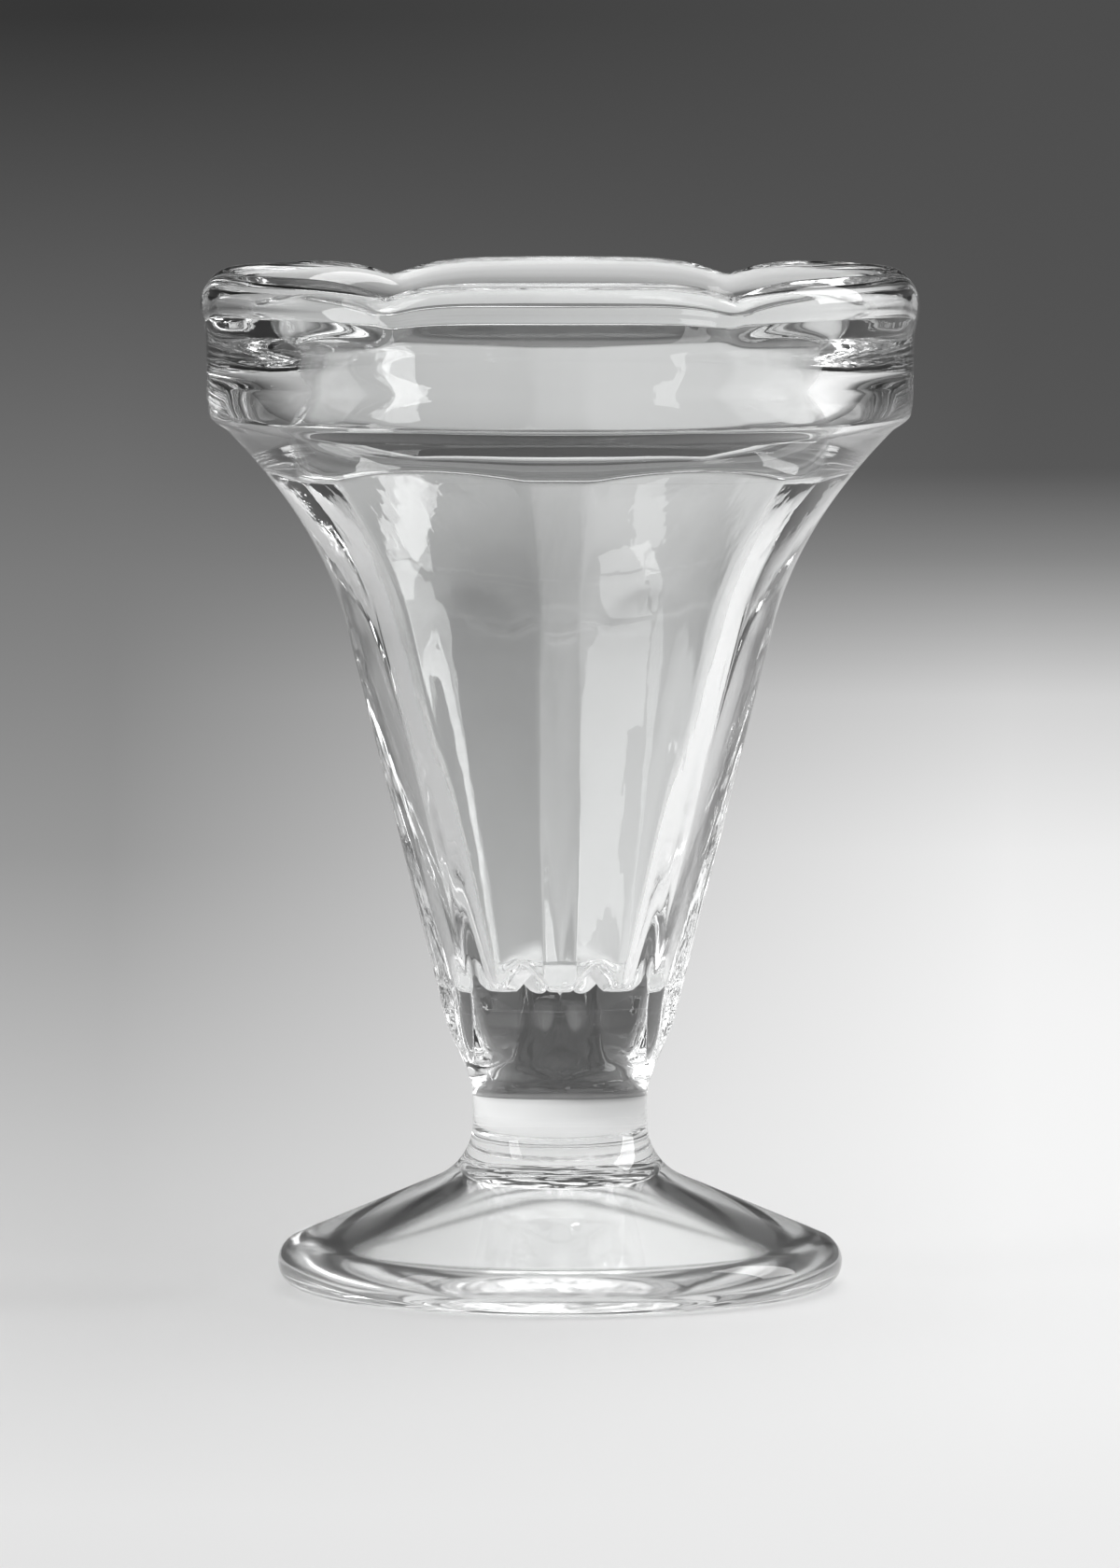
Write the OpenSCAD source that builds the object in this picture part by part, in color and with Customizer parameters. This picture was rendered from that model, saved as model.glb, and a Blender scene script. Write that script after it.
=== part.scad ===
// Stemmed dessert glass with a scalloped lip, a fluted bowl, a waisted stem and a round foot.
// The real glass is pressed in one piece. Its five zones are solids that seat on each other
// on flat rings, so that each can be named, measured and changed by itself.

/* [Rim] */
// Diameter across the lip, the widest line of the glass
rim_d = 95; // [88:0.5:102]

/* [Foot] */
// Diameter of the foot
foot_d = 75; // [68:0.5:82]
// Height of the foot's cone above the table
foot_h = 14.5; // [12:0.5:17]
// Radius of the foot's rounded edge
foot_edge_r = 3.4; // [2.6:0.1:4]
// Diameter at which the foot's cone meets the stem
foot_top_d = 33; // [29:0.2:36]
// Depth of the hollow under the foot
foot_hollow_h = 10.8; // [6:0.2:11.4]
// Diameter of the hollow's flat roof
foot_roof_d = 22.8; // [16:0.2:26]
// Width of the flat ring that the foot rests on
foot_ring_w = 2.4; // [1.5:0.1:5]

/* [Stem] */
// Height of the stem, from the foot's cone to the bowl
stem_h = 21.5; // [19:0.5:26]
// Diameter of the stem's waist
waist_d = 23.2; // [20:0.1:25]
// Height of the straight part of the waist
waist_h = 3.2; // [1:0.1:4]

/* [Bowl outside] */
// Diameter at which the bowl meets the stem
root_d = 30.6; // [28:0.2:33]
// Height of the bowl's conical wall
wall_h = 52; // [44:0.5:60]
// Diameter at the top of the conical wall
wall_top_d = 56.6; // [52:0.2:60]
// Height of the flare, from the conical wall to the collar
flare_h = 26; // [22:0.5:30]
// Distance of the top of the flare inside the widest line of the lip
flare_inset = 3.3; // [2.6:0.1:5]

/* [Flutes] */
// Number of flutes round the bowl, and of panels inside it
flute_count = 8; // [6:2:10]
// Depth of a flute at its middle
flute_depth = 1; // [0.5:0.1:1.4]
// Height of a flute's arched head above the conical wall
flute_head_h = 7.5; // [4:0.5:10]
// Width of the ridge left between the heads of two flutes
head_ridge_w = 7.4; // [5:0.1:9]
// Height of a flute's round tail below the foot of the bowl
flute_tail_h = 5; // [3:0.5:7]
// Width of the ridge left between the tails of two flutes
tail_ridge_w = 2; // [0.8:0.1:3]

/* [Bowl inside] */
// Thickness of the glass between the foot of the bowl and the cavity's floor
floor_t = 7.1; // [5:0.1:9]
// Horizontal thickness of the wall at the cavity's floor
floor_wall_t = 9.2; // [8:0.1:10.5]
// Horizontal thickness of the wall at the top of the conical wall
wall_t = 6.6; // [5:0.1:8]
// Horizontal thickness of the wall where the flare's inside ends
flare_wall_t = 5.7; // [4.5:0.1:7]
// Distance below the collar at which the flare's inside ends
crease_drop = 3.8; // [2:0.1:6]
// Depth of the panels inside the bowl
panel_depth = 0.9; // [0.5:0.1:1.2]
// Radius of the balls that round the cavity's toes, one at each ridge between two panels
toe_r = 2.3; // [1.8:0.1:2.6]
// Distance of the toes inside the ridges of the cavity's wall
toe_inset = 0.5; // [0.3:0.1:1]

/* [Collar] */
// Height of the collar
collar_h = 11.5; // [9:0.5:14]
// Height of the collar's rounded lower corner
corner_h = 1.9; // [1.4:0.1:3]
// Distance of the collar's lower corner inside the widest line of the lip
corner_inset = 1.1; // [0.8:0.1:2]
// Distance of the collar's bulge inside the widest line of the lip
bulge_inset = 0.5; // [0.2:0.1:0.8]
// Distance of the narrow line between the collar and the lip inside the widest line
crease_inset = 0.9; // [0.6:0.1:1.8]
// Horizontal thickness of the wall at the collar's shoulder
shoulder_t = 9.2; // [8:0.1:10]
// Horizontal thickness of the wall at the mouth
mouth_t = 7; // [5:0.1:8]

/* [Lip] */
// Height of the lip's crests above the collar
lip_h = 9.5; // [8:0.5:12]
// Number of lobes round the lip
lobe_count = 6; // [4:1:8]
// Depth of the notches between the lobes, at the outer face
notch_h = 3; // [1.5:0.1:4]
// Depth of the notches at the inner face
notch_inner_h = 1.5; // [0.6:0.1:3]
// Drop from a crest to the widest line of the lip
crest_h = 3.3; // [2:0.1:4]
// Distance of the crest line inside the widest line of the lip
crest_inset = 2.3; // [1.6:0.1:3.4]

/* [Hidden] */

// Facets of a full circle, which stand for true circles
$fn = 96;
// Steps of one curved stretch of a profile
curve_steps = 10;
// Columns of the lip's mesh in one lobe, and steps of each quarter of its crest
lobe_steps = 20;
crest_steps = 4;

// How far a flute's cutter reaches out of the wall, and the cavity's past the top of the bowl
flute_reach = 6;
overrun = 1;
// Power of a lobe's fall towards its notches
lobe_power_share = 5;
// Drop of the crest's inner quarter as a share of the outer one
crest_inner_share = 1.4;
// Radius gained for each millimetre of height, at the ends of the blended curves
flare_top_slope_share = 1;
cavity_flare_slope_share = 0.98;
throat_slope_share = 0.45;
shoulder_slope_share = 0.22;
mouth_slope_share = 0.12;
corner_slope_share = 1.6;
bulge_slope_share = 0.2;
// Heights as shares of the collar: its bulge outside and its shoulder inside
bulge_share = 0.65;
shoulder_share = 0.52;

// Levels of the seats between the zones
stem_z = foot_h;
bowl_z = stem_z + stem_h;
wall_top_z = bowl_z + wall_h;
collar_z = wall_top_z + flare_h;
lip_z = collar_z + collar_h;

// Radii of the outside that follow the rim
rim_r = rim_d / 2;
flare_top_r = rim_r - flare_inset;
crease_r = rim_r - crease_inset;
crest_r = rim_r - crest_inset;
mouth_r = rim_r - mouth_t;

// The foot's cone is tangent to its rounded edge
edge_r_at = foot_d / 2 - foot_edge_r;
cone_run = foot_top_d / 2 - edge_r_at;
cone_rise = foot_h - foot_edge_r;
edge_turn = atan2(cone_rise, cone_run) - acos(foot_edge_r / norm([cone_run, cone_rise]));
cone_angle = 90 - edge_turn;

// The hollow of the stem's foot runs from the cone's angle to upright
fillet_r = (foot_top_d - waist_d) / 2 / (1 - sin(cone_angle));
fillet_z = stem_z + fillet_r * cos(cone_angle);

// The conical wall, as radius gained for each millimetre of height, and a flute's outline on it
wall_slope = (wall_top_d - root_d) / 2 / wall_h;
wall_angle = atan(wall_slope);
half_pitch = 180 / flute_count;
flute_head_r = half_width(wall_top_z, head_ridge_w);
flute_tail_r = half_width(bowl_z, tail_ridge_w);
flute_low = flute_tail_r - flute_tail_h / cos(wall_angle);
flute_high = (wall_h + flute_head_h) / cos(wall_angle) - flute_head_r;
flute_taper = asin((flute_head_r - flute_tail_r) / (flute_high - flute_low));

// The cavity along a ridge: its floor, its conical wall, the inside of the flare and the throat
floor_z = bowl_z + floor_t;
cavity_floor_r = wall_r(floor_z) - floor_wall_t;
cavity_wall_r = wall_top_d / 2 - wall_t;
cavity_slope = (cavity_wall_r - cavity_floor_r) / (wall_top_z - floor_z);
crease_z = collar_z - crease_drop;
cavity_crease_r = flare_top_r - crease_drop * flare_top_slope_share - flare_wall_t;
throat_r = cavity_crease_r + crease_drop * throat_slope_share;
shoulder_z = collar_z + collar_h * shoulder_share;
shoulder_r = rim_r - shoulder_t;

// Radius of the bowl's conical wall at a height
function wall_r(z) = root_d / 2 + (z - bowl_z) * wall_slope;

// Half the width of a flute at a height, between two ridges
function half_width(z, ridge) = (wall_r(z) - flute_depth) * tan(half_pitch) - ridge / 2;

// A curve of radius against height, from one point and slope to another
function blend(r0, z0, s0, r1, z1, s1) =
    [for (i = [0:curve_steps]) let (u = i / curve_steps, h = z1 - z0)
        [r0 * (1 + u * u * (2 * u - 3)) + r1 * u * u * (3 - 2 * u)
            + h * u * (1 - u) * (s0 * (1 - u) - s1 * u), z0 + h * u]];

// Points of an arc about a centre
function arc(r, z, radius, from, to) =
    [for (i = [0:curve_steps]) let (a = from + (to - from) * i / curve_steps)
        [r + radius * cos(a), z + radius * sin(a)]];

// A list without its first point, where the point before it is the same one
function rest(points) = [for (i = [1:len(points) - 1]) points[i]];

// A list from its end to its start
function reversed(points) = [for (i = [len(points) - 1:-1:0]) points[i]];

function flare_curve() = blend(wall_top_d / 2, wall_top_z, wall_slope,
    flare_top_r, collar_z, flare_top_slope_share);

function waist_curve() = blend(waist_d / 2, fillet_z + waist_h, 0,
    root_d / 2, bowl_z, wall_slope);

function cavity_flare() = blend(cavity_wall_r, wall_top_z, cavity_slope,
    cavity_crease_r, crease_z, cavity_flare_slope_share);

function cavity_throat() = blend(throat_r, collar_z, throat_slope_share,
    shoulder_r, shoulder_z, shoulder_slope_share);

function cavity_mouth() = blend(shoulder_r, shoulder_z, shoulder_slope_share,
    mouth_r, lip_z, mouth_slope_share);

// The cavity's section along a ridge, from its floor to past the top of the bowl
function ridge_section() = concat(
    [[0, floor_z], [cavity_floor_r, floor_z]],
    cavity_flare(),
    [[throat_r + overrun * throat_slope_share, collar_z + overrun], [0, collar_z + overrun]]);

// Corners of the panelled cavity, set so that its flat sides lie inside the ridges
function panel_section() =
    let (top = crease_drop + overrun,
        wall = concat([[cavity_floor_r, floor_z]], cavity_flare(),
            [[cavity_crease_r + top * cavity_flare_slope_share, collar_z + overrun]]))
    concat([[0, floor_z]],
        [for (p = wall) [(p[0] - panel_depth) / cos(half_pitch), p[1]]],
        [[0, collar_z + overrun]]);

// Fall of the lip at a turn from a lobe's middle: 0 there, and 1 in a notch
function notch_share(turn) =
    let (half = 180 / lobe_count)
    pow(1 - abs(turn % (2 * half) - half) / half, lobe_power_share);

// The lip's section as [radius, height], up its outer face, over the crest and down inside
function lip_section() = concat(
    blend(crease_r, 0, 0, rim_r, lip_h - crest_h, 0),
    [for (i = [1:crest_steps]) let (a = 90 * i / crest_steps)
        [crest_r + (rim_r - crest_r) * cos(a), lip_h - crest_h * (1 - sin(a))]],
    [for (i = [1:crest_steps]) let (a = 90 * i / crest_steps)
        [crest_r - (crest_r - mouth_r) * sin(a),
            lip_h - crest_h * crest_inner_share * (1 - cos(a))]],
    [[mouth_r, 0]]);

// One point of the section, lowered by the notch at its turn
function lip_point(p, turn) =
    let (notch = notch_share(turn), up = p[1] / lip_h,
        out = (p[0] - mouth_r) / (rim_r - mouth_r),
        depth = notch_inner_h + (notch_h - notch_inner_h) * out)
    [p[0] * cos(turn), p[0] * sin(turn), p[1] - depth * notch * up];

// The outline of a flute on the wall: a round tail and an arched head, joined by a taper
module flute_outline() {
    low = [flute_tail_r * cos(flute_taper), flute_low - flute_tail_r * sin(flute_taper)];
    high = [flute_head_r * cos(flute_taper), flute_high - flute_head_r * sin(flute_taper)];
    translate([0, flute_low])
        circle(r = flute_tail_r);
    translate([0, flute_high])
        circle(r = flute_head_r);
    polygon([low, high, [-high[0], high[1]], [-low[0], low[1]]]);
}

// The cutters of the flutes, with a ridge between two flutes at the front
module flute_cutters() {
    for (k = [0:flute_count - 1])
        rotate([0, 0, 2 * half_pitch * (k + 0.5) - 90])
            translate([root_d / 2, 0, bowl_z])
                rotate([0, wall_angle, 0])
                    translate([-flute_depth, 0, 0])
                        rotate([90, 0, 90])
                            linear_extrude(flute_reach)
                                flute_outline();
}

// The inside of the bowl: flat panels between round ridges, and a round toe under each ridge
module cavity() {
    toe_at = cavity_floor_r - toe_inset - toe_r;
    intersection() {
        rotate_extrude()
            polygon(ridge_section());
        rotate([0, 0, -90])
            rotate_extrude($fn = flute_count)
                polygon(panel_section());
    }
    for (k = [0:flute_count - 1])
        rotate([0, 0, 2 * half_pitch * k - 90])
            translate([toe_at, 0, floor_z])
                sphere(r = toe_r);
}

module foot() {
    color("gainsboro")
        rotate_extrude()
            polygon(concat(
                [[0, foot_hollow_h], [foot_roof_d / 2, foot_hollow_h], [edge_r_at - foot_ring_w, 0]],
                arc(edge_r_at, foot_edge_r, foot_edge_r, -90, edge_turn),
                [[foot_top_d / 2, foot_h], [0, foot_h]]));
}

module stem() {
    color("gainsboro")
        difference() {
            rotate_extrude()
                polygon(concat(
                    [[0, stem_z]],
                    arc(waist_d / 2 + fillet_r, fillet_z, fillet_r, 270 - cone_angle, 180),
                    waist_curve(),
                    [[0, bowl_z]]));
            flute_cutters();
        }
}

module bowl() {
    color("gainsboro")
        difference() {
            rotate_extrude()
                polygon(concat(
                    [[0, bowl_z], [root_d / 2, bowl_z]],
                    flare_curve(),
                    [[0, collar_z]]));
            flute_cutters();
            cavity();
        }
}

module collar() {
    bulge_z = collar_z + collar_h * bulge_share;
    corner = [rim_r - corner_inset, collar_z + corner_h];
    color("gainsboro")
        rotate_extrude()
            polygon(concat(
                blend(flare_top_r, collar_z, corner_slope_share,
                    corner[0], corner[1], bulge_slope_share),
                rest(blend(corner[0], corner[1], bulge_slope_share,
                    rim_r - bulge_inset, bulge_z, 0)),
                rest(blend(rim_r - bulge_inset, bulge_z, 0,
                    crease_r, lip_z, 0)),
                reversed(cavity_mouth()),
                rest(reversed(cavity_throat()))));
}

module lip() {
    section = lip_section();
    rows = len(section);
    columns = lobe_count * lobe_steps;
    points = [for (j = [0:columns - 1], p = section) lip_point(p, 360 * j / columns)];
    faces = [for (j = [0:columns - 1], i = [0:rows - 1])
        let (a = j * rows + i, b = j * rows + (i + 1) % rows,
            c = (j + 1) % columns * rows + (i + 1) % rows, d = (j + 1) % columns * rows + i)
        each [[a, b, c], [a, c, d]]];
    color("gainsboro")
        translate([0, 0, lip_z])
            rotate([0, 0, -90])
                polyhedron(points, faces);
}

foot();
stem();
bowl();
collar();
lip();
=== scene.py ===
"""A stemmed dessert glass: one clear pressed casting with a scalloped lip and a fluted bowl.

The casting is drawn as one closed skin, because the real glass is one piece and light crosses it
with no seam inside. Its overall heights and widths are read from the fixed frame, and the rest of
its sizes are fields of the zones below.
"""

import logging
import math
from dataclasses import dataclass, field
from enum import Enum
from typing import Any

import bpy
import numpy as np
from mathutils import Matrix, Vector

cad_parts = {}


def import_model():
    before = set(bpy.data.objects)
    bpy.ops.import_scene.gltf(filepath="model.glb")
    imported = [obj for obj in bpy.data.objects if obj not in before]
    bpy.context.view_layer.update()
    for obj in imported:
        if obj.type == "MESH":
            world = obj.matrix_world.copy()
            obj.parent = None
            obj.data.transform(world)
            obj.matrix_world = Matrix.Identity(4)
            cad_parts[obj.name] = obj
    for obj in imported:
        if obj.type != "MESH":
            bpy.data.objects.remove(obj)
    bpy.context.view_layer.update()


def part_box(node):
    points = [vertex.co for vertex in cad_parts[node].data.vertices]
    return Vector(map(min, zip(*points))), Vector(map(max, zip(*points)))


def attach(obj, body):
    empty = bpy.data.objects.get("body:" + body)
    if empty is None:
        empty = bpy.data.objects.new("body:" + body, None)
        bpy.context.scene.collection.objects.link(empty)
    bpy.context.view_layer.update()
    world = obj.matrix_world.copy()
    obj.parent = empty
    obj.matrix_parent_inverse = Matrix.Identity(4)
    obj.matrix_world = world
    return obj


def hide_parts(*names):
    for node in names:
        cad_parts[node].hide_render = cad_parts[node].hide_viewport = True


MM = 0.001
SAME_POINT = 1e-7
LOG = logging.getLogger("stemmed_glass")

Point = tuple[float, float]
Greys = tuple[tuple[float, float], ...]


class Cut(Enum):
    """How a stretch of the glass's outline changes round the axis."""

    ROUND = "round"
    FLUTED = "fluted"
    NOTCHED = "notched"


@dataclass
class Stretch:
    """One stretch of the outline.

    Attributes:
        points: Rows of radius and height, in metres.
        cut: How the stretch changes round the axis.
    """

    points: np.ndarray
    cut: Cut = Cut.ROUND


def ease_across(u: np.ndarray, start: Any, end: Any, start_gain: Any, end_gain: Any) -> np.ndarray:
    """Return values on a smooth curve from one value to another.

    Args:
        u: Places along the curve, from 0 to 1.
        start: Value where it starts.
        end: Value where it ends.
        start_gain: What a straight line as steep as the start would gain over the whole curve.
        end_gain: The same for the end.

    Returns:
        The value at each place.
    """
    return (
        start * (1 + u * u * (2 * u - 3))
        + end * u * u * (3 - 2 * u)
        + u * (1 - u) * (start_gain * (1 - u) - end_gain * u)
    )


def blend(start: tuple[float, float, float], end: tuple[float, float, float], steps: int) -> np.ndarray:
    """Draw a smooth curve of radius against height.

    Args:
        start: Radius, height and radius gained per metre of height, where it starts.
        end: The same where it ends.
        steps: Number of steps along the curve.

    Returns:
        Rows of radius and height.
    """
    u = np.linspace(0, 1, steps + 1)
    rise = end[1] - start[1]
    radius = ease_across(u, start[0], end[0], start[2] * rise, end[2] * rise)
    return np.column_stack([radius, start[1] + rise * u])


def arc(centre: Point, radius: float, turn: tuple[float, float], steps: int) -> np.ndarray:
    """Draw an arc in the plane of radius and height.

    Args:
        centre: Radius and height of its centre.
        radius: Its radius.
        turn: The angles in degrees where it starts and ends.
        steps: Number of steps along the arc.

    Returns:
        Rows of radius and height.
    """
    angle = np.radians(np.linspace(turn[0], turn[1], steps + 1))
    return np.column_stack([centre[0] + radius * np.cos(angle), centre[1] + radius * np.sin(angle)])


def line(start: Point, end: Point, steps: int) -> np.ndarray:
    """Draw a straight line in the plane of radius and height, in a number of steps."""
    return np.linspace(start, end, steps + 1)


def top_of(node: str) -> float:
    """Return the height of a node's top."""
    return float(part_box(node)[1][2])


def radius_of(node: str) -> float:
    """Return half the widest size of a node."""
    low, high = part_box(node)
    return max(float(high[0] - low[0]), float(high[1] - low[1])) / 2


def oval_end(z: np.ndarray, start: float, end: float) -> np.ndarray:
    """Return a flute's width share: 1 up to where its end starts, then an oval down to 0."""
    u = np.clip((z - start) / (end - start), 0, 1)
    return np.sqrt(np.maximum(1 - u * u, 0))


def ease(value: np.ndarray, low: float, high: float) -> np.ndarray:
    """Return a smooth rise from 0 at one value to 1 at another."""
    u = np.clip((value - low) / (high - low), 0, 1)
    return u * u * (3 - 2 * u)


def off_panel(angle: np.ndarray, count: int) -> np.ndarray:
    """Return the angle from the middle of the nearest panel, with a ridge at the front."""
    pitch = 2 * math.pi / count
    return np.abs((angle + math.pi / 2) % pitch - pitch / 2)


@dataclass
class Foot:
    """The conical foot, from the middle of its underside out and up to the stem."""

    edge_radius: float = 3.4 * MM
    top_radius: float = 16.5 * MM
    hollow_height: float = 10.8 * MM
    roof_radius: float = 9.9 * MM
    roof_bend: float = 1.2 * MM
    roof_middle_radius: float = 1.5 * MM
    ring_width: float = 2.4 * MM
    radius: float = field(default_factory=lambda: radius_of("foot"))
    height: float = field(default_factory=lambda: top_of("foot"))

    @property
    def edge_turn(self) -> float:
        """Angle in degrees on the rounded edge at which the cone leaves it."""
        run = self.top_radius - (self.radius - self.edge_radius)
        rise = self.height - self.edge_radius
        return math.degrees(math.atan2(rise, run) - math.acos(self.edge_radius / math.hypot(run, rise)))

    def outline(self) -> list[Stretch]:
        """Return the hollow's roof and side, the rest ring, the rounded edge and the cone."""
        ring = self.radius - self.edge_radius
        edge = arc((ring, self.edge_radius), self.edge_radius, (-90, self.edge_turn), steps=20)
        inner = ring - self.ring_width
        slant = math.atan2(self.hollow_height, inner - self.roof_radius)
        reach = self.roof_bend * math.tan(slant / 2)
        bend = arc(
            (self.roof_radius - reach, self.hollow_height - self.roof_bend),
            self.roof_bend,
            (90, 90 - math.degrees(slant)),
            steps=8,
        )
        return [
            Stretch(line((self.roof_middle_radius, self.hollow_height), tuple(bend[0]), steps=6)),
            Stretch(bend),
            Stretch(line(tuple(bend[-1]), (inner, 0), steps=8)),
            Stretch(line((inner, 0), (ring, 0), steps=3)),
            Stretch(edge),
            Stretch(line(tuple(edge[-1]), (self.top_radius, self.height), steps=8)),
        ]


@dataclass
class Stem:
    """The solid stem: a round fillet, a straight waist and a swelling root below the bowl."""

    foot: Foot
    waist_radius: float = 11.6 * MM
    waist_height: float = 3.2 * MM
    root_radius: float = 15.3 * MM
    top: float = field(default_factory=lambda: top_of("stem"))

    def outline(self, wall_slope: float) -> list[Stretch]:
        """Return the fillet, and the root that carries on from the waist.

        Args:
            wall_slope: Radius gained per metre of height on the bowl's wall above.

        Returns:
            The stretches, from the foot up.
        """
        cone = 90 - self.foot.edge_turn
        lean = math.radians(cone)
        fillet = (self.foot.top_radius - self.waist_radius) / (1 - math.sin(lean))
        centre = (self.waist_radius + fillet, self.foot.height + fillet * math.cos(lean))
        waist = (self.waist_radius, centre[1] + self.waist_height, 0)
        root = (self.root_radius, self.top, wall_slope)
        return [
            Stretch(arc(centre, fillet, (270 - cone, 180), steps=16)),
            Stretch(blend(waist, root, steps=28), Cut.FLUTED),
        ]


@dataclass
class Flutes:
    """The shallow flutes round the outside of the bowl, with arched heads and rounded tails.

    The two least shares keep a flute's width and softness above zero past its ends, and the widest
    offset keeps the fall beside it small.
    """

    count: int = 8
    ridge_low: float = 0.3 * MM
    ridge_high: float = 2.8 * MM
    head_start: float = 79 * MM
    head_end: float = 94.8 * MM
    tail_start: float = 42 * MM
    tail_end: float = 30.5 * MM
    head_depth: float = 0.5 * MM
    tail_depth: float = 0.9 * MM
    edge_softness: float = 0.15 * MM
    end_power: float = 2.0
    least_width_share: float = 1e-4
    least_softness_share: float = 1e-3
    widest_offset: float = 4.0

    def depth(self, r: np.ndarray, z: np.ndarray, angle: np.ndarray) -> np.ndarray:
        """Return how deep the flutes cut each point of the wall, with softened edges.

        Args:
            r: Radius of each point.
            z: Height of each point.
            angle: Angle of each point.

        Returns:
            The depth at each point.
        """
        off = off_panel(angle, self.count)
        along = np.clip((z - self.tail_start) / (self.head_start - self.tail_start), 0, 1)
        ends = oval_end(z, self.head_start, self.head_end) * oval_end(z, self.tail_start, self.tail_end)
        ridge = self.ridge_low + (self.ridge_high - self.ridge_low) * along
        half = (r * math.pi / self.count - ridge) * np.maximum(ends, self.least_width_share)
        deep = (self.tail_depth + (self.head_depth - self.tail_depth) * along) * ends**self.end_power
        cut = deep * (1 - np.clip((off * r / half) ** 2, 0, self.widest_offset))
        soft = self.edge_softness * np.maximum(ends, self.least_softness_share)
        return np.where(cut > soft, cut, np.where(cut < -soft, 0, (cut + soft) ** 2 / (4 * soft)))


@dataclass
class Bowl:
    """The outside of the bowl: a straight conical wall and a flare below the collar."""

    root_radius: float
    wall_top_radius: float = 28.3 * MM
    wall_height: float = 52 * MM
    flare_top_radius: float = 44.2 * MM
    flare_top_slope: float = 1.0
    bottom: float = field(default_factory=lambda: top_of("stem"))
    top: float = field(default_factory=lambda: top_of("bowl"))

    @property
    def wall_slope(self) -> float:
        """Radius gained per metre of height on the conical wall."""
        return (self.wall_top_radius - self.root_radius) / self.wall_height

    def outline(self) -> list[Stretch]:
        """Return the conical wall and the flare."""
        wall_top = self.bottom + self.wall_height
        wall = line((self.root_radius, self.bottom), (self.wall_top_radius, wall_top), steps=44)
        flare = blend(
            (self.wall_top_radius, wall_top, self.wall_slope),
            (self.flare_top_radius, self.top, self.flare_top_slope),
            steps=56,
        )
        return [Stretch(wall, Cut.FLUTED), Stretch(flare, Cut.FLUTED)]


@dataclass
class Collar:
    """The plain barrel-shaped band between the bowl and the lip."""

    bowl: Bowl
    corner_radius: float = 46.4 * MM
    corner_height: float = 1.9 * MM
    bulge_radius: float = 46.7 * MM
    crease_radius: float = 46.75 * MM
    bulge_share: float = 0.65
    corner_slope: float = 1.6
    bulge_slope: float = 0.2
    top: float = field(default_factory=lambda: top_of("collar"))

    def outline(self) -> list[Stretch]:
        """Return the corner, the bulge and the line below the lip."""
        bottom = self.bowl.top
        corner = (self.corner_radius, bottom + self.corner_height, self.bulge_slope)
        bulge = (self.bulge_radius, bottom + (self.top - bottom) * self.bulge_share, 0)
        crease = (self.crease_radius, self.top, 0)
        return [
            Stretch(blend((self.bowl.flare_top_radius, bottom, self.corner_slope), corner, steps=12)),
            Stretch(blend(corner, bulge, steps=12)),
            Stretch(blend(bulge, crease, steps=10)),
        ]


@dataclass
class Lip:
    """The scalloped lip: gently arched lobes that meet in notches."""

    collar: Collar
    lobes: int = 6
    notch_depth: float = 2.4 * MM
    notch_inner_depth: float = 1.5 * MM
    notch_softness: float = 0.04
    lobe_power: float = 5
    crest_height: float = 3.3 * MM
    crest_radius: float = 45.2 * MM
    crest_inner_share: float = 1.4
    draft: float = 0.42
    crest_steps: int = 14
    radius: float = field(default_factory=lambda: radius_of("lip"))
    top: float = field(default_factory=lambda: top_of("lip"))

    def outline(self, mouth_radius: float) -> list[Stretch]:
        """Return the outer face, the crest and the inner face.

        Args:
            mouth_radius: Radius of the mouth at the foot of the lip.

        Returns:
            The stretches, from the collar up and over.
        """
        bottom, widest = self.collar.top, self.top - self.crest_height
        turn = np.radians(np.linspace(0, 90, self.crest_steps + 1))
        outer = np.column_stack([
            self.crest_radius + (self.radius - self.crest_radius) * np.cos(turn),
            widest + self.crest_height * np.sin(turn),
        ])
        drop = self.crest_height * self.crest_inner_share
        inner_radius = mouth_radius + (self.top - drop - bottom) * self.draft
        inner = np.column_stack([
            self.crest_radius - (self.crest_radius - inner_radius) * np.sin(turn),
            self.top - drop * (1 - np.cos(turn)),
        ])
        below = line(tuple(inner[-1]), (mouth_radius, bottom), steps=8)
        face = blend((self.collar.crease_radius, bottom, 0), (self.radius, widest, 0), steps=16)
        return [Stretch(part, Cut.NOTCHED) for part in (face, outer, inner, below)]

    def fall(self, r: np.ndarray, angle: np.ndarray, mouth_radius: float) -> np.ndarray:
        """Work out how far the top of the lip falls from its lobes to its notches.

        Args:
            r: Radius of each point.
            angle: Angle of each point.
            mouth_radius: Radius of the mouth at the foot of the lip.

        Returns:
            The fall at each point.
        """
        half = math.pi / self.lobes
        off = np.abs((angle + math.pi / 2) % (2 * half) - half) / half
        soft = np.sqrt(off**2 + self.notch_softness**2) - self.notch_softness
        share = np.maximum(1 - soft, 0) ** self.lobe_power
        out = np.clip((r - mouth_radius) / (self.radius - mouth_radius), 0, 1)
        return (self.notch_inner_depth + (self.notch_depth - self.notch_inner_depth) * out) * share


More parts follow.
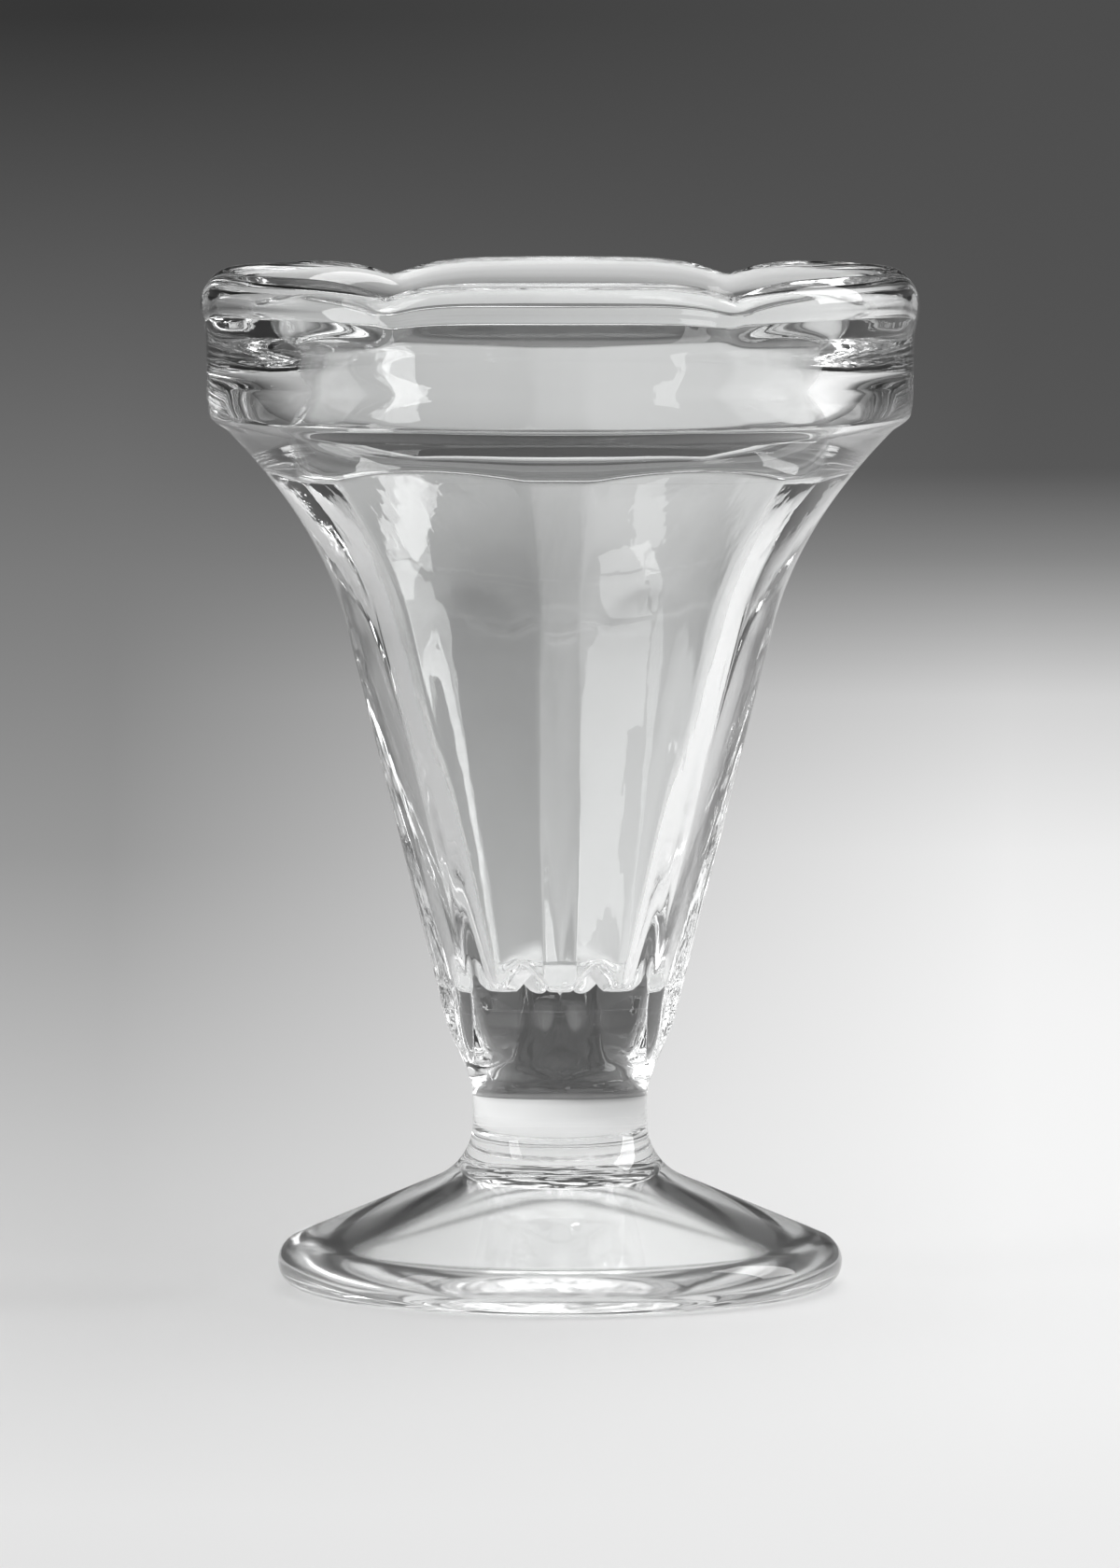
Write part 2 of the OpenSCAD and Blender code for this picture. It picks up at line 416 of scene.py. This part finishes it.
@dataclass
class Cavity:
    """The inside: a lobed floor, a panelled wall and flare, a wavy crease and a plain tapered mouth."""

    floor: float = 40.8 * MM
    floor_radius: float = 8.4 * MM
    floor_middle_radius: float = 0.6 * MM
    corner_radius: float = 1.6 * MM
    wall_top: float = 88 * MM
    wall_top_radius: float = 21.7 * MM
    crease: float = 110.2 * MM
    crease_radius: float = 34.7 * MM
    crease_wave: float = 1.6 * MM
    crease_reach: float = 4 * MM
    flare_slope: float = 0.98
    throat_slope: float = 0.45
    shoulder: float = 120 * MM
    shoulder_radius: float = 37.9 * MM
    shoulder_slope: float = 0.4
    mouth_radius: float = 40.0 * MM
    mouth_slope: float = 0.42
    panels: int = 6
    panel_depth_low: float = 0.8 * MM
    panel_depth_high: float = 0.9 * MM
    panel_share: float = 0.75
    panel_full_radius: float = 6 * MM
    floor_rise: float = 3.0 * MM
    rise_fade: float = 8 * MM
    tip_inner: float = 2 * MM
    tip_outer: float = 5 * MM
    flare_steps: int = 34
    throat_steps: int = 16

    @property
    def wall_slope(self) -> float:
        """Radius gained per metre of height on the wall."""
        return (self.wall_top_radius - self.floor_radius) / (self.wall_top - self.floor)

    def bump(self, angle: np.ndarray) -> np.ndarray:
        """Return how far in the panels stand round the axis, as a share of their full depth."""
        off = off_panel(angle, self.panels) / (math.pi / self.panels * self.panel_share)
        return np.maximum(1 - off**2, 0)

    def finger(self, angle: np.ndarray) -> np.ndarray:
        """Return how near each angle is to the middle of a finger between two panels, from 0 to 1."""
        away = 1 - off_panel(angle, self.panels) * self.panels / math.pi
        return (1 + np.cos(math.pi * away)) / 2

    def flare_radius(self, z: np.ndarray) -> np.ndarray:
        """Return the flare's radius between its panels at each height, and a little past the crease."""
        wall_top = (self.wall_top_radius, self.wall_top, self.wall_slope)
        crease = (self.crease_radius, self.crease)
        past = (self.crease_radius + self.flare_slope * self.crease_reach, self.crease + self.crease_reach)
        curve = np.vstack([
            blend(wall_top, (*crease, self.flare_slope), self.flare_steps),
            line(crease, past, steps=4)[1:],
        ])
        return np.interp(z, curve[:, 1], curve[:, 0])

    def throat(self, wave: np.ndarray, edge: np.ndarray) -> tuple[np.ndarray, np.ndarray]:
        """Draw the stretch from the shoulder down to the wavy crease.

        Args:
            wave: Height of the crease in each column.
            edge: Radius of the crease in each column.

        Returns:
            The grids of radius and height.
        """
        share = np.linspace(1, 0, self.throat_steps + 1)[1:, None]
        rise = self.shoulder - wave
        gains = (self.throat_slope * rise, self.shoulder_slope * rise)
        return ease_across(share, edge, self.shoulder_radius, *gains), wave + rise * share

    def flare(self, wave: np.ndarray, bump: np.ndarray) -> tuple[np.ndarray, np.ndarray]:
        """Draw the panelled flare, from the wavy crease down to the wall.

        Args:
            wave: Height of the crease in each column.
            bump: How far in the panels stand in each column.

        Returns:
            The grids of radius and height.
        """
        share = np.linspace(1, 0, self.flare_steps + 1)[1:, None]
        z = self.wall_top + (wave - self.wall_top) * share
        return self.flare_radius(z) - self.panel_depth_high * bump, z

    def wall_and_floor(self, angle: np.ndarray) -> tuple[np.ndarray, np.ndarray]:
        """Draw the panelled wall, the corner and the lobed floor.

        Args:
            angle: The angle of each column.

        Returns:
            The grids of radius and height.
        """
        lean = math.atan(self.wall_slope)
        across = self.floor_radius + self.corner_radius * (math.tan(lean) - 1 / math.cos(lean))
        corner = arc(
            (across, self.floor + self.corner_radius),
            self.corner_radius,
            (360 - math.degrees(lean), 270),
            steps=12,
        )
        plain_rows = np.vstack([
            line((self.wall_top_radius, self.wall_top), tuple(corner[0]), steps=40)[1:],
            corner[1:],
            line((across, self.floor), (self.floor_middle_radius, self.floor), steps=14)[1:],
        ])
        r, z = plain_rows[:, :1], plain_rows[:, 1:]
        along = np.clip((z - self.floor) / (self.wall_top - self.floor), 0, 1)
        deep = self.panel_depth_low + (self.panel_depth_high - self.panel_depth_low) * along
        panel = deep * self.bump(angle) * np.clip(r / self.panel_full_radius, 0, 1)
        fade = np.clip(1 - (z - self.floor) / self.rise_fade, 0, 1)
        tip = ease(r, self.tip_inner, self.tip_outer) * self.finger(angle)
        rise = self.floor_rise * (1 - tip) * fade
        on_wall = np.clip((z - self.floor) / self.corner_radius, 0, 1)
        return r + self.wall_slope * rise * on_wall - panel, z + rise

    def grid(self, angle: np.ndarray, top: float) -> tuple[np.ndarray, np.ndarray]:
        """Draw the inside, from the lip down to the middle of the floor.

        Args:
            angle: The angle of each column.
            top: Height where the lip starts.

        Returns:
            The grids of radius and height.
        """
        bump = self.bump(angle)
        shoulder = (self.shoulder_radius, self.shoulder, self.shoulder_slope)
        mouth = blend(shoulder, (self.mouth_radius, top, self.mouth_slope), steps=10)[::-1]
        mouth_r = np.repeat(mouth[:, :1], len(angle), axis=1)
        mouth_z = np.repeat(mouth[:, 1:], len(angle), axis=1)
        wave = self.crease + self.crease_wave * bump
        edge = self.flare_radius(wave) - self.panel_depth_high * bump
        parts = (
            (mouth_r, mouth_z),
            self.throat(wave, edge),
            self.flare(wave, bump),
            self.wall_and_floor(angle),
        )
        return np.vstack([r for r, _ in parts]), np.vstack([z for _, z in parts])


@dataclass
class Casting:
    """The whole glass as one closed skin."""

    columns: int = 240
    foot: Foot = field(default_factory=Foot)
    flutes: Flutes = field(default_factory=Flutes)
    cavity: Cavity = field(default_factory=Cavity)

    def __post_init__(self) -> None:
        """Join the zones that share sizes."""
        self.stem = Stem(self.foot)
        self.bowl = Bowl(self.stem.root_radius)
        self.collar = Collar(self.bowl)
        self.lip = Lip(self.collar)

    def outline(self) -> list[Stretch]:
        """Return the outline of the outside, from under the foot up and over the lip."""
        return (
            self.foot.outline()
            + self.stem.outline(self.bowl.wall_slope)
            + self.bowl.outline()
            + self.collar.outline()
            + self.lip.outline(self.cavity.mouth_radius)
        )

    def skin(self) -> tuple[np.ndarray, np.ndarray, np.ndarray]:
        """Work out the skin's grid.

        Returns:
            The grids of radius, height and angle, one row for each point of the outline.
        """
        rows, cuts = [], []
        for stretch in self.outline():
            points = stretch.points
            if rows and np.allclose(rows[-1], points[0], atol=SAME_POINT):
                points = points[1:]
            rows.extend(points)
            cuts.extend([stretch.cut] * len(points))
        angle = 2 * math.pi * np.arange(self.columns) / self.columns - math.pi / 2
        outside = np.array(rows)
        r = np.repeat(outside[:, :1], self.columns, axis=1)
        z = np.repeat(outside[:, 1:], self.columns, axis=1)
        around = np.repeat(angle[None, :], len(outside), axis=0)
        fluted = np.array([cut is Cut.FLUTED for cut in cuts])
        r[fluted] -= self.flutes.depth(r[fluted], z[fluted], around[fluted])
        notched = np.array([cut is Cut.NOTCHED for cut in cuts])
        up = (z[notched] - self.collar.top) / (self.lip.top - self.collar.top)
        z[notched] -= self.lip.fall(r[notched], around[notched], self.cavity.mouth_radius) * up
        inner_r, inner_z = self.cavity.grid(angle, self.collar.top)
        r, z = np.vstack([r, inner_r[1:]]), np.vstack([z, inner_z[1:]])
        return r, z, np.repeat(angle[None, :], len(r), axis=0)

    def build(self) -> bpy.types.Object:
        """Build the closed mesh and return its object."""
        r, z, angle = self.skin()
        rows, columns = r.shape
        grid = np.stack([r * np.cos(angle), r * np.sin(angle), z], axis=2).reshape(-1, 3)
        points = np.vstack([grid, [[0, 0, z[0, 0]], [0, 0, z[-1, 0]]]])
        row = np.arange(rows - 1)[:, None] * columns
        here = np.arange(columns)[None, :]
        after = (here + 1) % columns
        quads = np.stack(
            [row + here, row + after, row + columns + after, row + columns + here], axis=2
        ).reshape(-1, 4)
        faces = quads.tolist()
        roof_middle, floor_middle, last_row = len(grid), len(grid) + 1, (rows - 1) * columns
        for column in range(columns):
            beside = (column + 1) % columns
            faces.append([roof_middle, beside, column])
            faces.append([floor_middle, last_row + column, last_row + beside])
        mesh = bpy.data.meshes.new("glass_casting")
        mesh.from_pydata(points.tolist(), [], faces)
        mesh.polygons.foreach_set("use_smooth", [True] * len(mesh.polygons))
        mesh.update()
        glass = bpy.data.objects.new("glass_casting", mesh)
        bpy.context.scene.collection.objects.link(glass)
        return glass


class Signal:
    """A node socket that takes part in Python arithmetic, each operator adding a Math node."""

    def __init__(self, tree: bpy.types.NodeTree, socket: bpy.types.NodeSocket) -> None:
        """Keep the tree and the socket."""
        self.tree = tree
        self.socket = socket

    def maths(self, operation: str, *values: "Signal | float") -> "Signal":
        """Add a Math node.

        Args:
            operation: The node's operation.
            values: Numbers or signals for its inputs, in order.

        Returns:
            The node's result.
        """
        node = self.tree.nodes.new("ShaderNodeMath")
        node.operation = operation
        for socket, value in zip(node.inputs, values):
            if isinstance(value, Signal):
                self.tree.links.new(value.socket, socket)
            else:
                socket.default_value = value
        return Signal(self.tree, node.outputs[0])

    def __add__(self, other: "Signal | float") -> "Signal":
        """Add."""
        return self.maths("ADD", self, other)

    __radd__ = __add__

    def __sub__(self, other: "Signal | float") -> "Signal":
        """Subtract."""
        return self.maths("SUBTRACT", self, other)

    def __rsub__(self, other: float) -> "Signal":
        """Subtract from a number."""
        return self.maths("SUBTRACT", other, self)

    def __mul__(self, other: "Signal | float") -> "Signal":
        """Multiply."""
        return self.maths("MULTIPLY", self, other)

    __rmul__ = __mul__

    def __truediv__(self, other: "Signal | float") -> "Signal":
        """Divide."""
        return self.maths("DIVIDE", self, other)

    def __rtruediv__(self, other: float) -> "Signal":
        """Divide a number."""
        return self.maths("DIVIDE", other, self)

    def __gt__(self, other: "Signal | float") -> "Signal":
        """Return 1 where this is greater, else 0."""
        return self.maths("GREATER_THAN", self, other)

    def __lt__(self, other: "Signal | float") -> "Signal":
        """Return 1 where this is less, else 0."""
        return self.maths("LESS_THAN", self, other)

    def at_least(self, low: float) -> "Signal":
        """Return this, or the number where this is less."""
        return self.maths("MAXIMUM", self, low)

    def at_most(self, high: float) -> "Signal":
        """Return this, or the number where this is greater."""
        return self.maths("MINIMUM", self, high)


class Painter:
    """Adds nodes to one node tree."""

    def __init__(self, owner: bpy.types.Material | bpy.types.World) -> None:
        """Empty the tree of a material or a world."""
        owner.use_nodes = True
        self.tree = owner.node_tree
        self.tree.nodes.clear()

    def node(
        self,
        kind: str,
        settings: dict[str, Any] | None = None,
        inputs: dict[Any, Any] | None = None,
        output: Any = 0,
    ) -> Signal:
        """Add any node.

        Args:
            kind: The node's type.
            settings: Its settings; "stops" gives the places and greys of a colour ramp.
            inputs: Values or signals for its sockets, by name or number.
            output: Name or number of the output to return.

        Returns:
            The chosen output, or the node's own input of that number where it has no output.
        """
        node = self.tree.nodes.new(kind)
        for name, value in (settings or {}).items():
            if name == "stops":
                self.set_stops(node, value)
            else:
                setattr(node, name, value)
        for name, value in (inputs or {}).items():
            if isinstance(value, Signal):
                self.tree.links.new(value.socket, node.inputs[name])
            else:
                node.inputs[name].default_value = value
        sockets = node.outputs if len(node.outputs) else node.inputs
        return Signal(self.tree, sockets[output])

    @staticmethod
    def set_stops(node: bpy.types.Node, stops: Greys) -> None:
        """Set a colour ramp's stops, each a place and a grey."""
        elements = node.color_ramp.elements
        while len(elements) < len(stops):
            elements.new(1)
        for element, (place, grey) in zip(elements, stops):
            element.position = place
            element.color = (grey, grey, grey, 1)

    def ramp(self, stops: Greys, place: Signal) -> Signal:
        """Add a grey ramp that is read at a place."""
        return self.node("ShaderNodeValToRGB", {"stops": stops}, {0: place})

    def part(self, vector: Signal, axis: str) -> Signal:
        """Add a node that takes one axis of a vector."""
        return self.node("ShaderNodeSeparateXYZ", inputs={0: vector}, output=axis)


@dataclass(frozen=True)
class ClearGlass:
    """Clear pressed glass, with what the mould and the fire polish leave on it.

    It has faint ripples all over, drawn streaks on the bowl's walls, an uneven patch on the roof of
    the foot's hollow and a slightly rough underside round that patch.
    """

    tint: tuple[float, float, float, float] = (0.985, 0.992, 0.99, 1)
    ior: float = 1.52
    shadow_tint: tuple[float, float, float, float] = (0.82, 0.82, 0.82, 1)
    ripple_scale: float = 70
    ripple_detail: float = 1.0
    ripple_height: float = 0.035 * MM
    streak_scale: float = 380
    streak_detail: float = 2.0
    streak_height: float = 0.025 * MM
    streak_draw: float = 0.02
    streak_low: float = 38 * MM
    streak_high: float = 110 * MM
    frost_scale: float = 260
    frost_detail: float = 1.0
    frost_height: float = 0.8 * MM
    frost_radius: float = 9.2 * MM
    frost_low: float = 9.0 * MM
    frost_high: float = 12.0 * MM
    under_roughness: float = 0.08
    under_slope: float = 0.5
    under_height: float = 17.6 * MM

    def noise(self, paint: Painter, place: Signal, scale: float, detail: float) -> Signal:
        """Add a noise texture.

        Args:
            paint: The painter of the material.
            place: Where the noise is read.
            scale: Its scale.
            detail: Its detail.

        Returns:
            The noise, from 0 to 1.
        """
        return paint.node("ShaderNodeTexNoise", inputs={"Vector": place, "Scale": scale, "Detail": detail})

    def material(self) -> bpy.types.Material:
        """Build the material."""
        material = bpy.data.materials.new("clear_pressed_glass")
        paint = Painter(material)
        place = paint.node("ShaderNodeTexCoord", output="Object")
        height = paint.part(place, "Z")
        level = paint.node("ShaderNodeVectorMath", {"operation": "MULTIPLY"}, {0: place, 1: (1, 1, 0)})
        reach = paint.node("ShaderNodeVectorMath", {"operation": "LENGTH"}, {0: level}, "Value")
        roof = (reach < self.frost_radius) * (height > self.frost_low) * (height < self.frost_high)
        walls = (height > self.streak_low) * (height < self.streak_high)
        under = height + reach * self.under_slope < self.under_height
        ripple = self.noise(paint, place, self.ripple_scale, self.ripple_detail)
        frost = self.noise(paint, place, self.frost_scale, self.frost_detail)
        drawn = paint.node(
            "ShaderNodeMapping", inputs={"Vector": place, "Scale": (1, 1, self.streak_draw)}
        )
        streak = self.noise(paint, drawn, self.streak_scale, self.streak_detail)
        relief = (
            ripple
            + frost * roof * (self.frost_height / self.ripple_height)
            + streak * walls * (self.streak_height / self.ripple_height)
        )
        normal = paint.node(
            "ShaderNodeBump", inputs={"Height": relief, "Distance": self.ripple_height, "Strength": 1.0}
        )
        glass = paint.node(
            "ShaderNodeBsdfPrincipled",
            inputs={
                "Base Color": self.tint,
                "Roughness": under * (1 - roof) * self.under_roughness,
                "IOR": self.ior,
                "Transmission Weight": 1.0,
                "Normal": normal,
            },
        )
        clear = paint.node("ShaderNodeBsdfTransparent", inputs={"Color": self.shadow_tint})
        shadow = paint.node("ShaderNodeLightPath", output="Is Shadow Ray")
        mixed = paint.node("ShaderNodeMixShader", inputs={0: shadow, 1: glass, 2: clear})
        paint.node("ShaderNodeOutputMaterial", inputs={"Surface": mixed}, output="Surface")
        return material


@dataclass(frozen=True)
class SoftBox:
    """A soft lamp that faces the glass.

    Attributes:
        name: Its name.
        place: Where its middle is, in metres.
        size: Its width and height, in metres.
        watts: Its power.
    """

    name: str
    place: tuple[float, float, float]
    size: tuple[float, float]
    watts: float

    def build(self, aim_height: float) -> None:
        """Hang the lamp and turn it to a height on the glass's axis."""
        data = bpy.data.lights.new(self.name, "AREA")
        data.shape = "RECTANGLE"
        data.size, data.size_y = self.size
        data.energy = self.watts
        lamp = bpy.data.objects.new(self.name, data)
        lamp.location = self.place
        aim = Vector((0, 0, aim_height)) - Vector(self.place)
        lamp.rotation_euler = aim.to_track_quat("-Z", "Y").to_euler()
        bpy.context.scene.collection.objects.link(lamp)


@dataclass(frozen=True)
class Backdrop:
    """The floor, which runs on behind the glass as its backdrop, and the sky.

    The floor's ramps run from far off (0) to the ramp distance ahead of the camera (1), and their greys
    paint light and shade into the floor's colour. The camera sees painted shade on a dark left side and
    far off, and painted light on a right side that is pale lower down; other rays see a plainer floor with
    painted shade far off and painted light that makes it brighter to the right. The sky's ramps run from
    straight down (0) to straight up (1).
    """

    floor_radius: float = 14.0
    floor_corners: int = 128
    floor_gap: float = 0.1 * MM
    ramp_distance: float = 1.48
    least_distance: float = 0.1
    # These two ramps are painted shade and painted light: greys darker far off and on the left, paler near
    # the glass on the right.
    seen_left_painted_shade: Greys = (
        (0.14, 0.06), (0.31, 0.17), (0.46, 0.27), (0.62, 0.34), (0.8, 0.55), (1.0, 0.77),
    )
    seen_right_painted_light: Greys = (
        (0.14, 0.115), (0.4, 0.14), (0.45, 0.32), (0.53, 0.77), (0.62, 0.87), (1.0, 0.82),
    )
    seen_gain: float = 1.09
    seen_reach: float = 0.035
    seen_share: float = 0.4
    # This ramp is painted shade: the plainer floor darkens far off.
    plain_painted_falloff: Greys = (
        (0.0, 0.2), (0.3, 0.25), (0.45, 0.35), (0.6, 0.4), (0.72, 0.55), (0.8, 0.9), (1.0, 0.8),
    )
    # This ramp is painted light: it makes the plainer floor brighter to the right.
    painted_light_tilt: Greys = ((0.0, 0.55), (0.5, 0.95), (0.7, 1.0))
    painted_light_tilt_reach: float = 0.12
    sky_back: Greys = (
        (0.5, 0.2), (0.54, 0.18), (0.57, 0.05), (0.765, 0.05), (0.785, 0.85), (0.86, 0.8), (1.0, 1.0),
    )
    sky_side: Greys = (
        (0.5, 0.25), (0.6, 0.12), (0.75, 0.15), (0.85, 0.6), (0.93, 1.0), (1.0, 1.0),
    )
    sky_back_edge: Greys = ((0.7, 0.0), (0.88, 1.0))
    sky_right_gain: float = 0.5

    @staticmethod
    def spread(value: Signal, reach: float) -> Signal:
        """Return 0 where a value is minus its reach, 0.5 where it is 0 and 1 where it is its reach."""
        return value * (0.5 / reach) + 0.5

    def floor(self, camera_distance: float) -> None:
        """Lay a round floor just clear of the glass's rest ring, its colour painted with light and shade:
        pale round the glass, painted shade that darkens it far off and on the left, and painted light to
        the right.

        Args:
            camera_distance: How far the camera stands in front of the glass, in metres.
        """
        bpy.ops.mesh.primitive_circle_add(
            vertices=self.floor_corners, radius=self.floor_radius, fill_type="NGON"
        )
        floor = bpy.context.object
        floor.location.z = -self.floor_gap
        floor.name = "studio_floor"
        # This material paints light and shade into the floor's colour.
        material = bpy.data.materials.new("floor_painted_light_and_shade")
        paint = Painter(material)
        place = paint.node("ShaderNodeTexCoord", output="Object")
        away = (paint.part(place, "Y") + camera_distance).at_least(self.least_distance)
        near = self.ramp_distance / away
        sideways = paint.part(place, "X") / away
        rightness = self.spread(sideways, self.seen_reach).at_least(0.0).at_most(1.0)
        # Painted shade on the left and far off, painted light on the right near the glass.
        left = paint.ramp(self.seen_left_painted_shade, near)
        seen = (left + (paint.ramp(self.seen_right_painted_light, near) - left) * rightness) * self.seen_gain
        # Painted light that brightens the plainer floor to the right, times painted shade far off.
        painted_light_tilt = paint.ramp(self.painted_light_tilt, self.spread(sideways, self.painted_light_tilt_reach))
        plain_painted_falloff = paint.ramp(self.plain_painted_falloff, near) * painted_light_tilt
        camera_ray = paint.node("ShaderNodeLightPath", output="Is Camera Ray")
        # The camera sees the seen ramps' painted light and shade; other rays see mostly the plainer
        # painted light and shade.
        colour = plain_painted_falloff + (seen - plain_painted_falloff) * (camera_ray * (1 - self.seen_share) + self.seen_share)
        surface = paint.node(
            "ShaderNodeBsdfPrincipled",
            inputs={"Base Color": colour, "Roughness": 1.0, "Specular IOR Level": 0.0},
        )
        paint.node("ShaderNodeOutputMaterial", inputs={"Surface": surface}, output="Surface")
        floor.data.materials.append(material)

    def sky(self) -> None:
        """Set a grey sky, dark low down and bright above, and brighter to the right."""
        world = bpy.data.worlds.new("studio_sky")
        bpy.context.scene.world = world
        paint = Painter(world)
        way = paint.node("ShaderNodeTexCoord", output="Generated")
        height = self.spread(paint.part(way, "Z"), 1.0)
        side = paint.ramp(self.sky_side, height)
        behind = paint.ramp(self.sky_back_edge, paint.part(way, "Y"))
        grey = side + (paint.ramp(self.sky_back, height) - side) * behind
        strength = paint.part(way, "X") * self.sky_right_gain + 1.0
        light = paint.node("ShaderNodeBackground", inputs={"Color": grey, "Strength": strength})
        paint.node("ShaderNodeOutputWorld", inputs={"Surface": light}, output="Surface")


@dataclass(frozen=True)
class Studio:
    """The backdrop, the lamps, the camera and what the light needs to cross thick glass."""

    backdrop: Backdrop = Backdrop()
    lamps: tuple[SoftBox, ...] = (
        SoftBox("right_softbox", (1.1, 0.2, 0.6), (0.5, 1.0), 8),
        SoftBox("left_softbox", (-1.0, -0.5, 0.6), (0.3, 0.7), 2),
        SoftBox("top_softbox", (0.1, 0.3, 1.5), (1.0, 1.0), 3),
    )
    lamp_aim_height: float = 0.08
    focal_px: float = 13791
    frame_height_px: float = 1680
    sensor_height_mm: float = 24
    camera_distance: float = 1.7
    camera_height: float = 0.2006
    look_height: float = 0.0668
    sight: float = 100
    bounces: int = 32
    transmission_bounces: int = 28
    glossy_bounces: int = 12
    transparent_bounces: int = 16

    def camera(self) -> None:
        """Place the camera at the photograph's angle and framing."""
        data = bpy.data.cameras.new("camera")
        data.sensor_fit = "VERTICAL"
        data.sensor_height = self.sensor_height_mm
        data.lens = data.sensor_height * self.focal_px / self.frame_height_px
        data.clip_end = self.sight
        camera = bpy.data.objects.new("camera", data)
        camera.location = (0, -self.camera_distance, self.camera_height)
        aim = Vector((0, 0, self.look_height)) - camera.location
        camera.rotation_euler = aim.to_track_quat("-Z", "Y").to_euler()
        bpy.context.scene.collection.objects.link(camera)
        bpy.context.scene.camera = camera

    def light_paths(self) -> None:
        """Let light cross many faces of glass, with plain colours."""
        bpy.context.scene.view_settings.view_transform = "Standard"
        cycles = bpy.context.scene.cycles
        cycles.max_bounces = self.bounces
        cycles.transmission_bounces = self.transmission_bounces
        cycles.glossy_bounces = self.glossy_bounces
        cycles.transparent_max_bounces = self.transparent_bounces

    def build(self) -> None:
        """Build the whole studio."""
        self.backdrop.floor(self.camera_distance)
        self.backdrop.sky()
        for lamp in self.lamps:
            lamp.build(self.lamp_aim_height)
        self.camera()
        self.light_paths()
        LOG.info("studio: floor, sky, %d soft boxes and the camera", len(self.lamps))


def main() -> None:
    """Build the studio and the glass in it."""
    logging.basicConfig(level=logging.INFO, format="%(name)s: %(message)s")
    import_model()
    Studio().build()
    casting = Casting()
    glass = casting.build()
    glass.data.materials.append(ClearGlass().material())
    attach(glass, "root")
    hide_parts("foot", "stem", "bowl", "collar", "lip")
    LOG.info("glass_casting: %d faces", len(glass.data.polygons))


if __name__ == "__main__":
    main()
